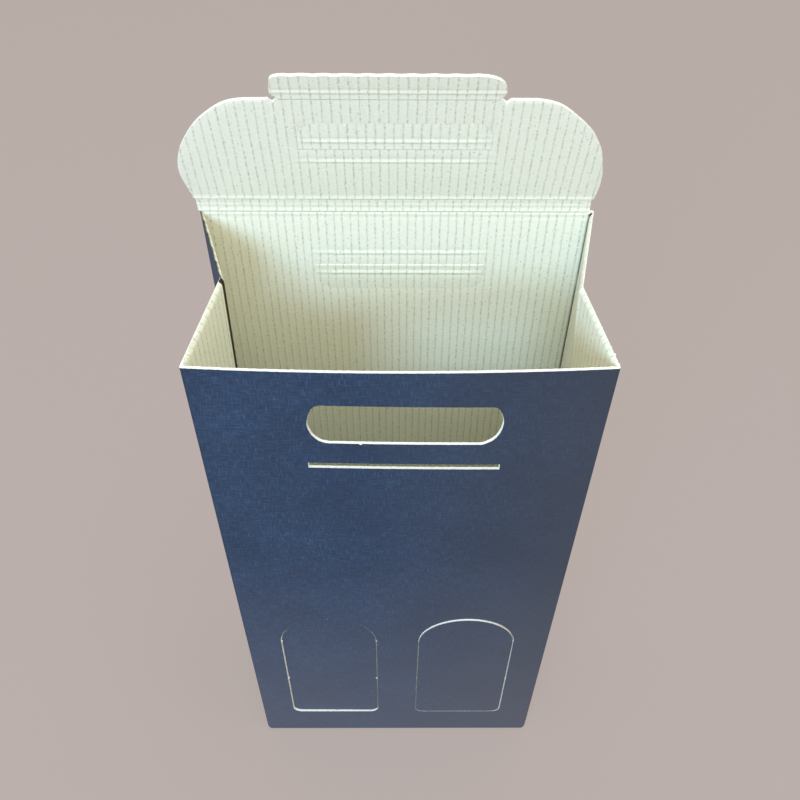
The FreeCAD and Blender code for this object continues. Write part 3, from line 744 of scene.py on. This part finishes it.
def makeBottom():
    reachX, reachY, kerf = bottom["reachX"], bottom["reachY"], bottom["seamWidth"] / 2
    step, offset = bottom["seamStep"], bottom["seamOffset"]
    frontFlap = [(-reachX, -reachY), (reachX, -reachY), (reachX, -offset - kerf),
                 (step - kerf, -offset - kerf), (step - kerf, offset - kerf),
                 (kerf - step, offset - kerf), (kerf - step, -offset - kerf),
                 (-reachX, -offset - kerf)]
    backFlap = [(reachX, reachY), (-reachX, reachY), (-reachX, kerf - offset), (-step - kerf, kerf - offset),
                (-step - kerf, offset + kerf), (step + kerf, offset + kerf), (step + kerf, kerf - offset),
                (reachX, kerf - offset)]
    wide = carton["width"] / 2 - board["thickness"] - 0.05
    deep = carton["depth"] / 2 - board["thickness"] - 0.05
    layer = [(-wide, -deep), (wide, -deep), (wide, deep), (-wide, deep)]
    tip, narrow = wide - bottom["dustReach"], deep - bottom["dustTaper"]
    leftDust = [(-wide, -deep), (-tip, -narrow), (-tip, narrow), (-wide, deep)]
    rightDust = [(wide, deep), (tip, narrow), (tip, -narrow), (wide, -deep)]
    thick = board["thickness"]
    for name, outline, lift in (("frontBottomFlap", frontFlap, 0),
                                ("backBottomFlap", backFlap, bottom["backLift"]),
                                ("bottomLayer", layer, thick + 0.02), ("leftDustFlap", leftDust, 2 * thick),
                                ("rightDustFlap", rightDust, 2 * thick)):
        rim = np.array(outline, float)
        low, high = rim.min(axis=0), rim.max(axis=0)
        fine = (spread(low[0], high[0], board["flutePitch"] / 4), spread(low[1], high[1], bottom["gridStep"]))
        coarse = (spread(low[0], high[0], bottom["gridStep"]), spread(low[1], high[1], bottom["gridStep"]))
        made = sheetObject(name, [rim], flatPlace(lift), skins, *fine, coarse, facing=-1,
                           relief=lambda u, v: washboard(u))
        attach(made, "box")


makeBottom()

# The two bottle windows' blanks still hang in the front by their nicks
blank = {
    "gridStep": 5.0,
    "left": {"centre": -41.6, "rise": -0.75, "tilt": 0.35, "twist": 0.25},  # pushed in, most at its foot
    "right": {"centre": 41.6, "rise": 0.45, "tilt": 0.40, "twist": 0.0},  # stands out, most at its head
}


def blankPlace(side):
    middleZ = (window["foot"] + window["spring"]) / 2 + 15

    def place(u, v, depth):
        rise = (side["rise"] + side["tilt"] * (v - middleZ) / 68 + side["twist"] * (u - side["centre"]) / 29)
        return np.column_stack([u, depth - carton["depth"] / 2 - rise, v + 0 * u])
    return place


def makeBlanks():
    for name, side in (("leftWindowBlank", blank["left"]), ("rightWindowBlank", blank["right"])):
        rim = archOutline(side["centre"], window["kerf"])
        low, high = rim.min(axis=0), rim.max(axis=0)
        fine = (spread(low[0], high[0], board["flutePitch"] / 4), spread(low[1], high[1], 8))
        coarse = (spread(low[0], high[0], blank["gridStep"]), spread(low[1], high[1], blank["gridStep"]))
        made = sheetObject(name, [rim], blankPlace(side), skins, *fine, coarse, facing=1,
                           relief=lambda u, v: washboard(u))
        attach(made, "box")


makeBlanks()

# Panels that swing on a crease. Flat place (u, v): across, and away from the crease's axis
def panelPlace(base, lean, way=1):
    turn = math.radians(lean)

    def place(u, v, depth):
        # below the axis the board's end rolls round it, so that it turns inside the fold
        angle = np.clip(-v / half, 0, math.pi / 2)
        y = (half - depth) * np.cos(angle)
        z = way * np.where(v < 0, -half * np.sin(angle), v)
        return np.column_stack([base[0] + u, base[1] + y * math.cos(turn) - z * math.sin(turn),
                                base[2] + y * math.sin(turn) + z * math.cos(turn)])
    return place


rollStart = -half * math.pi / 2
rollRows = [-1.1, -0.8, -0.5, -0.2]


def makePanel(name, node, body, rims, place, relief, extraRows=(), way=1):
    low, high = rims[0].min(axis=0), rims[0].max(axis=0)
    pitch = board["flutePitch"]
    rows = np.concatenate([rollRows, spread(0.3, high[1], board["rowStep"]), extraRows])
    rows = np.unique(np.round(rows, 2))
    outerRows = np.unique(np.round(np.concatenate([rollRows, spread(0.4, high[1], board["outerStep"])]), 2))
    made = sheetObject(
        name, rims, place, skins, spread(low[0], high[0], pitch / board["columns"]), rows,
        (spread(low[0], high[0], board["outerStep"]), outerRows), facing=-way, relief=relief,
        joined=lambda points: np.where(points[:, 1] < rollStart + 1e-6, 2, 0))
    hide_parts(node)
    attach(made, body)


# The ridge strip between the lid's two creases
strip = {
    "base": (-2.0, 45.8, 396.35),
    "lean": 7.2,
    "width": 8.0,
    "left": (-91.9, -92.0),  # at its foot and at its head
    "right": (91.0, 90.6),
}


def makeStrip():
    top = strip["width"] - hinge["setback"]
    rim = np.array([(strip["left"][0], rollStart), (strip["right"][0], rollStart), (strip["right"][1], top),
                    (strip["left"][1], top)])

    def relief(u, v):
        return (washboard(u) * 0.7 + bump(v, 0.9) * 0.36 + bump(v - top, 0.8) * 0.28
                - 0.16 * (bump(v - 2.1, 0.8) + bump(v - 5.0, 0.8)))

    makePanel("ridgeStrip", "lid_strip", "strip", [rim],
              panelPlace(strip["base"], strip["lean"]), relief, np.arange(0, top, 0.45))


makeStrip()

# The lid flap with its round lobes
lid = {
    "base": (-4.5, 44.797, 404.287),
    "lean": 14.4,
    "crease": 64.5,  # from its hinge to the tuck tab's
    "leftEdge": [(-90.0, rollStart), (-91.0, 3.6), (-92.9, 13.6), (-93.3, 19.9), (-92.5, 25.9), (-90.3, 33.2),
                 (-86.9, 40.2), (-81.0, 49.4), (-74.6, 56.0), (-67.9, 61.0), (-61.7, 63.0), (-55.0, 63.4)],
    "rightEdge": [(93.6, rollStart), (94.4, 2.3), (95.0, 9.3), (94.6, 17.3), (93.3, 24.6), (92.2, 29.5),
                  (90.8, 34.3), (86.7, 42.6), (83.0, 47.8), (78.8, 52.4), (71.6, 59.2), (65.9, 62.2),
                  (60.0, 63.5)],
    "notch": {"left": -47.4, "right": 47.2, "width": 1.7, "depth": 1.9},  # beside the tab's neck
}


def makeLid():
    top = lid["crease"] - hinge["setback"]
    notch = lid["notch"]
    rim = smoothThrough(lid["rightEdge"]) + [np.array(lid["rightEdge"][-1])]
    for side in ("right", "left"):
        at = notch[side]
        rim += [np.array(p) for p in ((at + notch["width"], top - 0.1), (at, top - notch["depth"]),
                                      (at - notch["width"], top - 0.05))]
    back = smoothThrough(lid["leftEdge"]) + [np.array(lid["leftEdge"][-1])]
    rim = np.array(rim + back[::-1])
    opening = gripOutline(grips["middle"], grips["gap"], grips["hinge"] - hinge["setback"],
                          grips["cut"] + grips["gap"])

    def relief(u, v):
        onGrip = np.clip(3 - np.abs(u - grips["middle"]) / (grips["reach"] - 4) * 2.4, 0, 1)
        onTab = np.clip((49 - np.abs(u)) / 4, 0, 1)
        return (washboard(u) + bump(v, 0.9) * 0.36 - 0.14 * bump(v - 2.2, 0.9)
                + onGrip * scoreRelief(v, grips["scoreFar"])
                + onTab * bump(v - top, 1.0) * 0.25)

    scores = np.concatenate([grips["scoreFar"] + np.linspace(-3, 3, 13), np.arange(0, 3, 0.5),
                             top - np.arange(0.4, 3, 0.5)])
    makePanel("lobedLidFlap", "lid_flap", "lid", [rim, opening],
              panelPlace(lid["base"], lid["lean"]), relief, scores)


makeLid()

# The tuck tab, with a scalloped free edge
tab = {
    "base": (-4.5, 28.757, 466.761),
    "lean": 22.5,
    "length": 14.4,
    "score": 4.1,
    "scallop": 0.35,
    "scallopPitch": 8.6,
    "rightEdge": [(44.9, rollStart), (44.9, 0.5), (46.4, 2.2), (46.6, 5.2), (45.6, 9.2), (42.6, 12.4),
                  (38.6, 14.0)],
    "leftEdge": [(-45.2, rollStart), (-45.4, 0.5), (-47.6, 2.2), (-47.9, 5.0), (-47.4, 10.4), (-46.2, 13.0),
                 (-43.4, 14.2)],
}


def makeTab():
    right, left = tab["rightEdge"], tab["leftEdge"]
    rim = smoothThrough(right, 4) + [np.array(right[-1])]
    across = np.arange(right[-1][0] - 2, left[-1][0] + 2, -0.8)
    rise = tab["length"] - tab["scallop"] * np.abs(np.sin(math.pi * across / tab["scallopPitch"])) ** 2
    rim += list(np.column_stack([across, rise]))
    rim = np.array(rim + (smoothThrough(left, 4) + [np.array(left[-1])])[::-1])

    def relief(u, v):
        return washboard(u) + bump(v, 0.9) * 0.2 + scoreRelief(v, tab["score"], 0.3)

    makePanel("tuckTab", "tuck_tab", "tab", [rim], panelPlace(tab["base"], tab["lean"]),
              relief, np.arange(0, 7, 0.4))


makeTab()

# The flaps that still fill the hand holes of the lid and of the back panel
handFlaps = {
    "lid": {"base": (-2.3, 36.267, 437.509), "lean": 14.4, "way": 1},
    "back": {"base": (0.2, 45.8, 362.05), "lean": 0.0, "way": -1},
}


def makeHandFlap(name, node, body, look):
    rise, score = grips["cut"] - grips["hinge"], grips["scoreNear"] - grips["hinge"]
    rim = gripOutline(0, 0, rollStart, rise)

    def relief(u, v):
        onScore = np.clip(3 - np.abs(u) / (grips["reach"] - 4) * 2.4, 0, 1)
        return washboard(u + look["base"][0]) + bump(v, 0.9) * 0.15 + onScore * scoreRelief(v, score)

    makePanel(name, node, body, [rim], panelPlace(look["base"], look["lean"], look["way"]), relief,
              np.concatenate([score + np.linspace(-3, 3, 13), [0, 0.3, 0.6, 0.9, 1.2]]), look["way"])


makeHandFlap("lidHandFlap", "lid_hand_flap", "lid_grip", handFlaps["lid"])
makeHandFlap("backHandFlap", "back_hand_flap", "back_grip", handFlaps["back"])

# Geometry Nodes: what the knife leaves along its cuts
def treeWith(name, sockets):
    tree = bpy.data.node_groups.new(name, "GeometryNodeTree")
    tree.interface.new_socket(name="Geometry", in_out="INPUT", socket_type="NodeSocketGeometry")
    for label, kind in sockets:
        tree.interface.new_socket(name=label, in_out="INPUT", socket_type=kind)
    tree.interface.new_socket(name="Geometry", in_out="OUTPUT", socket_type="NodeSocketGeometry")
    return tree, addNode(tree, "NodeGroupInput"), addNode(tree, "NodeGroupOutput")


def finishTree(tree, instances, source, end):
    real = addNode(tree, "GeometryNodeRealizeInstances", links={0: instances})
    smooth = addNode(tree, "GeometryNodeSetShadeSmooth", links={0: real.outputs[0]})
    coloured = addNode(tree, "GeometryNodeSetMaterial", links={"Geometry": smooth.outputs[0],
                                                               "Material": source.outputs["Material"]})
    tree.links.new(coloured.outputs[0], end.inputs[0])


def bakeTree(name, tree, points, edges, sizes, values, body):
    # runs a tree on a scaffold of points, and keeps the result as a plain mesh
    scaffold = bpy.data.meshes.new(name + "Scaffold")
    scaffold.from_pydata((np.asarray(points) * mm).tolist(), edges, [])
    if sizes is not None:
        scale = scaffold.attributes.new("size", "FLOAT", "POINT")
        scale.data.foreach_set("value", np.asarray(sizes, np.float32))
    carrier = bpy.data.objects.new(name + "Scaffold", scaffold)
    bpy.context.collection.objects.link(carrier)
    modifier = carrier.modifiers.new("growth", "NODES")
    modifier.node_group = tree
    for item in tree.interface.items_tree:
        if item.in_out == "INPUT" and item.name in values:
            modifier[item.identifier] = values[item.name]
    bpy.context.view_layer.update()
    result = bpy.data.meshes.new_from_object(carrier.evaluated_get(bpy.context.evaluated_depsgraph_get()))
    result.name = name
    bpy.data.objects.remove(carrier)
    made = bpy.data.objects.new(name, result)
    bpy.context.collection.objects.link(made)
    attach(made, body)
    print("made", name, len(result.polygons), "faces")


def flakeTree():
    # a crumpled flake of torn liner on each point, turned at random
    tree, source, end = treeWith("tornFlakes", [
        ("Flake size", "NodeSocketFloat"), ("Crumple", "NodeSocketFloat"), ("Seed", "NodeSocketInt"),
        ("Material", "NodeSocketMaterial"),
    ])
    ball = addNode(tree, "GeometryNodeMeshIcoSphere", {"Subdivisions": 3},
                   {"Radius": source.outputs["Flake size"]})
    noise = addNode(tree, "ShaderNodeTexNoise", {"Scale": 1400.0, "Detail": 2.0})
    centred = addNode(tree, "ShaderNodeVectorMath", {1: (0.5, 0.5, 0.5)}, {0: noise.outputs["Color"]},
                      operation="SUBTRACT")
    shift = addNode(tree, "ShaderNodeVectorMath",
                    links={0: centred.outputs[0], "Scale": source.outputs["Crumple"]}, operation="SCALE")
    crumpled = addNode(tree, "GeometryNodeSetPosition",
                       links={"Geometry": ball.outputs[0], "Offset": shift.outputs[0]})
    flat = addNode(tree, "GeometryNodeTransform", {"Scale": (1.5, 0.7, 0.42)},
                   {"Geometry": crumpled.outputs[0]})
    turn = addNode(tree, "FunctionNodeRandomValue", {0: (-0.5, -0.5, -0.7), 1: (0.5, 0.5, 0.7)},
                   {"Seed": source.outputs["Seed"]}, data_type="FLOAT_VECTOR")
    size = addNode(tree, "GeometryNodeInputNamedAttribute", {"Name": "size"}, data_type="FLOAT")
    placed = addNode(tree, "GeometryNodeInstanceOnPoints",
                     links={"Points": source.outputs["Geometry"], "Instance": flat.outputs[0],
                            "Rotation": turn.outputs[0], "Scale": size.outputs[0]})
    finishTree(tree, placed.outputs[0], source, end)
    return tree


def fibreTree():
    # short paper fibres that stand off a cut edge, spaced along its path
    tree, source, end = treeWith("cutFibres", [
        ("Spacing", "NodeSocketFloat"), ("Fibre length", "NodeSocketFloat"),
        ("Fibre radius", "NodeSocketFloat"), ("Share lost", "NodeSocketFloat"),
        ("Seed", "NodeSocketInt"), ("Material", "NodeSocketMaterial"),
    ])
    curve = addNode(tree, "GeometryNodeMeshToCurve", links={0: source.outputs["Geometry"]})
    spots = addNode(tree, "GeometryNodeCurveToPoints",
                    links={"Curve": curve.outputs[0], "Length": source.outputs["Spacing"]}, mode="LENGTH")
    lost = {"Probability": source.outputs["Share lost"], "Seed": source.outputs["Seed"]}
    gone = addNode(tree, "FunctionNodeRandomValue", links=lost, data_type="BOOLEAN")
    thinned = addNode(tree, "GeometryNodeDeleteGeometry",
                      links={0: spots.outputs["Points"], 1: gone.outputs[3]}, domain="POINT")
    cone = {"Radius Bottom": source.outputs["Fibre radius"], "Depth": source.outputs["Fibre length"]}
    fibre = addNode(tree, "GeometryNodeMeshCone", {"Vertices": 5, "Side Segments": 3}, cone)
    turn = addNode(tree, "FunctionNodeRandomValue", {0: (-1.3, -1.3, -3.1), 1: (1.3, 1.3, 3.1)},
                   {"Seed": source.outputs["Seed"]}, data_type="FLOAT_VECTOR")
    stretch = addNode(tree, "FunctionNodeRandomValue", {2: 0.4, 3: 1.2}, {"Seed": source.outputs["Seed"]})
    placed = addNode(tree, "GeometryNodeInstanceOnPoints",
                     links={"Points": thinned.outputs[0], "Instance": fibre.outputs[0],
                            "Rotation": turn.outputs[0], "Scale": stretch.outputs[1]})
    finishTree(tree, placed.outputs[0], source, end)
    return tree


flakes = {
    "size": 0.55 * mm,
    "crumple": 0.35 * mm,
    # x, y and z of each flake, and its size, on the front's top edge, the right side's edge and the hand hole
    "box": [(-54.1, -47.6, 387.9, 0.8), (-45.5, -47.9, 388.0, 1.6), (-43.8, -47.9, 388.0, 1.0),
            (38.8, -48.0, 388.0, 1.3), (44.1, -47.9, 387.9, 1.2), (49.9, -47.6, 387.9, 1.3),
            (51.0, -47.6, 388.0, 0.9), (56.5, -47.3, 387.9, 1.1), (86.1, -24.3, 389.7, 0.7),
            (88.4, -35.0, 388.9, 1.1), (89.3, -39.0, 388.5, 1.3), (89.8, -41.5, 388.3, 1.1),
            (90.4, -44.0, 388.1, 1.3), (-17.5, -48.3, 338.9, 1.0)],
    # across the lid, up the lid, and size
    "lid": [(-18.6, 48.9, 0.9), (-13.2, 48.9, 0.7), (34.2, 49.1, 0.8), (-37.4, 46.4, 0.8), (8.3, 49.0, 0.6)],
}
nicks = {
    "size": 0.62 * mm,
    "crumple": 0.22 * mm,
}
fibres = {
    "spacing": 2.2 * mm,
    "length": 0.9 * mm,
    "radius": 0.09 * mm,
    "lost": 0.35,
}


def makeEdgeWear():
    flakeNodes, fibreNodes = flakeTree(), fibreTree()
    look = {"Flake size": flakes["size"], "Crumple": flakes["crumple"], "Seed": 3, "Material": fibreEdge}
    spots = np.array(flakes["box"])
    bakeTree("boxFlakes", flakeNodes, spots[:, :3], [], spots[:, 3], look, "box")
    spots = np.array(flakes["lid"])
    placeLid = panelPlace(lid["base"], lid["lean"])
    onLid = placeLid(spots[:, 0], spots[:, 1], board["thickness"] + 0 * spots[:, 0])
    bakeTree("lidFlakes", flakeNodes, onLid, [], spots[:, 2], look, "lid")
    reach, low, spring = window["width"] / 2 - 0.25, window["foot"] + 0.25, window["spring"]
    nickSpots = []
    for side in (-1, 1):
        middle = side * window["centre"]
        nickSpots += [(middle - reach, spring), (middle + reach, spring),
                      (middle - reach, (low + spring) / 2), (middle + reach, (low + spring) / 2),
                      (middle, low), (middle, spring + reach)]
    nickPoints = [(x, 0.55 - carton["depth"] / 2, z) for x, z in nickSpots]
    nickLook = {**look, "Flake size": nicks["size"], "Crumple": nicks["crumple"], "Seed": 5}
    sizes = [1.0] * len(nickPoints)
    bakeTree("windowNicks", flakeNodes, nickPoints, [], sizes, nickLook, "box")
    # the front's and the sides' top edge, as a path along the middle of the board
    along = np.concatenate([np.arange(bends[5] + 6, bends[6] - 1, 3.0),
                            bends[6] + np.arange(1, bends[2] - 1, 3.0)])
    path = wallPoint(along % bends[-1], wallTop(along % bends[-1]) - 0.05, np.full(len(along), 0.8))
    bakeTree("topEdgeFibres", fibreNodes, path, [(k, k + 1) for k in range(len(path) - 1)], None,
             {"Spacing": fibres["spacing"], "Fibre length": fibres["length"],
              "Fibre radius": fibres["radius"], "Share lost": fibres["lost"], "Seed": 11,
              "Material": fibreEdge}, "box")


makeEdgeWear()

# Stage and light
stageLook = {"floor": "#BBB0AC", "paper": "#A3948E", "size": 8.0}


def seenShare(tree):
    # 1 for a ray that sees the backdrop, straight, in a gloss or through a clear piece
    path = addNode(tree, "ShaderNodeLightPath")
    shiny = addNode(tree, "ShaderNodeMath", operation="MAXIMUM",
                    links={0: path.outputs["Is Camera Ray"], 1: path.outputs["Is Glossy Ray"]})
    every = addNode(tree, "ShaderNodeMath", operation="MAXIMUM",
                    links={0: shiny.outputs[0], 1: path.outputs["Is Transmission Ray"]})
    return every.outputs[0]


def makeStage(look):
    material, tree = newMaterial("matteBackdropPaper")
    plain = addNode(tree, "ShaderNodeBsdfDiffuse", {"Color": linear(look["paper"])})
    seen = addNode(tree, "ShaderNodeEmission", {"Color": linear(look["floor"]), "Strength": 1.0})
    share = addNode(tree, "ShaderNodeMath", {1: 0.75}, {0: seenShare(tree)}, operation="MULTIPLY")
    both = addNode(tree, "ShaderNodeMixShader",
                   links={0: share.outputs[0], 1: plain.outputs[0], 2: seen.outputs[0]})
    addNode(tree, "ShaderNodeOutputMaterial", links={"Surface": both.outputs[0]})
    size = look["size"]
    mesh = bpy.data.meshes.new("floor")
    corners = [(-size, -size, 0), (size, -size, 0), (size, size, 0), (-size, size, 0)]
    mesh.from_pydata(corners, [], [(0, 1, 2, 3)])
    mesh.materials.append(material)
    floor = bpy.data.objects.new("floor", mesh)
    bpy.context.collection.objects.link(floor)
    world = bpy.data.worlds.new("softWorld")
    bpy.context.scene.world = world
    world.use_nodes = True
    tree = world.node_tree
    tree.nodes.clear()
    light = addNode(tree, "ShaderNodeBackground", {"Color": linear("#FFF8E8"), "Strength": 0.92})
    backdrop = addNode(tree, "ShaderNodeBackground", {"Color": linear(look["floor"]), "Strength": 1.0})
    both = addNode(tree, "ShaderNodeMixShader", links={0: seenShare(tree), 1: light.outputs[0],
                                                       2: backdrop.outputs[0]})
    addNode(tree, "ShaderNodeOutputWorld", links={"Surface": both.outputs[0]})


def addLamp(name, place, target, size, watts, colour):
    lamp = bpy.data.lights.new(name, "AREA")
    lamp.size = size
    lamp.energy = watts
    lamp.color = linear(colour)[:3]
    made = bpy.data.objects.new(name, lamp)
    bpy.context.collection.objects.link(made)
    made.location = Vector(place)
    made.rotation_euler = (Vector(target) - Vector(place)).to_track_quat("-Z", "Y").to_euler()


makeStage(stageLook)
addLamp("keyLamp", (-0.85, -2.08, 1.35), (0, 0, 0.35), 0.95, 46, "#B0D8FF")
addLamp("topLamp", (0.3, -0.4, 2.6), (0, 0, 0.2), 1.4, 31, "#E6F4FF")
bpy.context.scene.view_settings.view_transform = "Standard"
print("stage and lamps set")
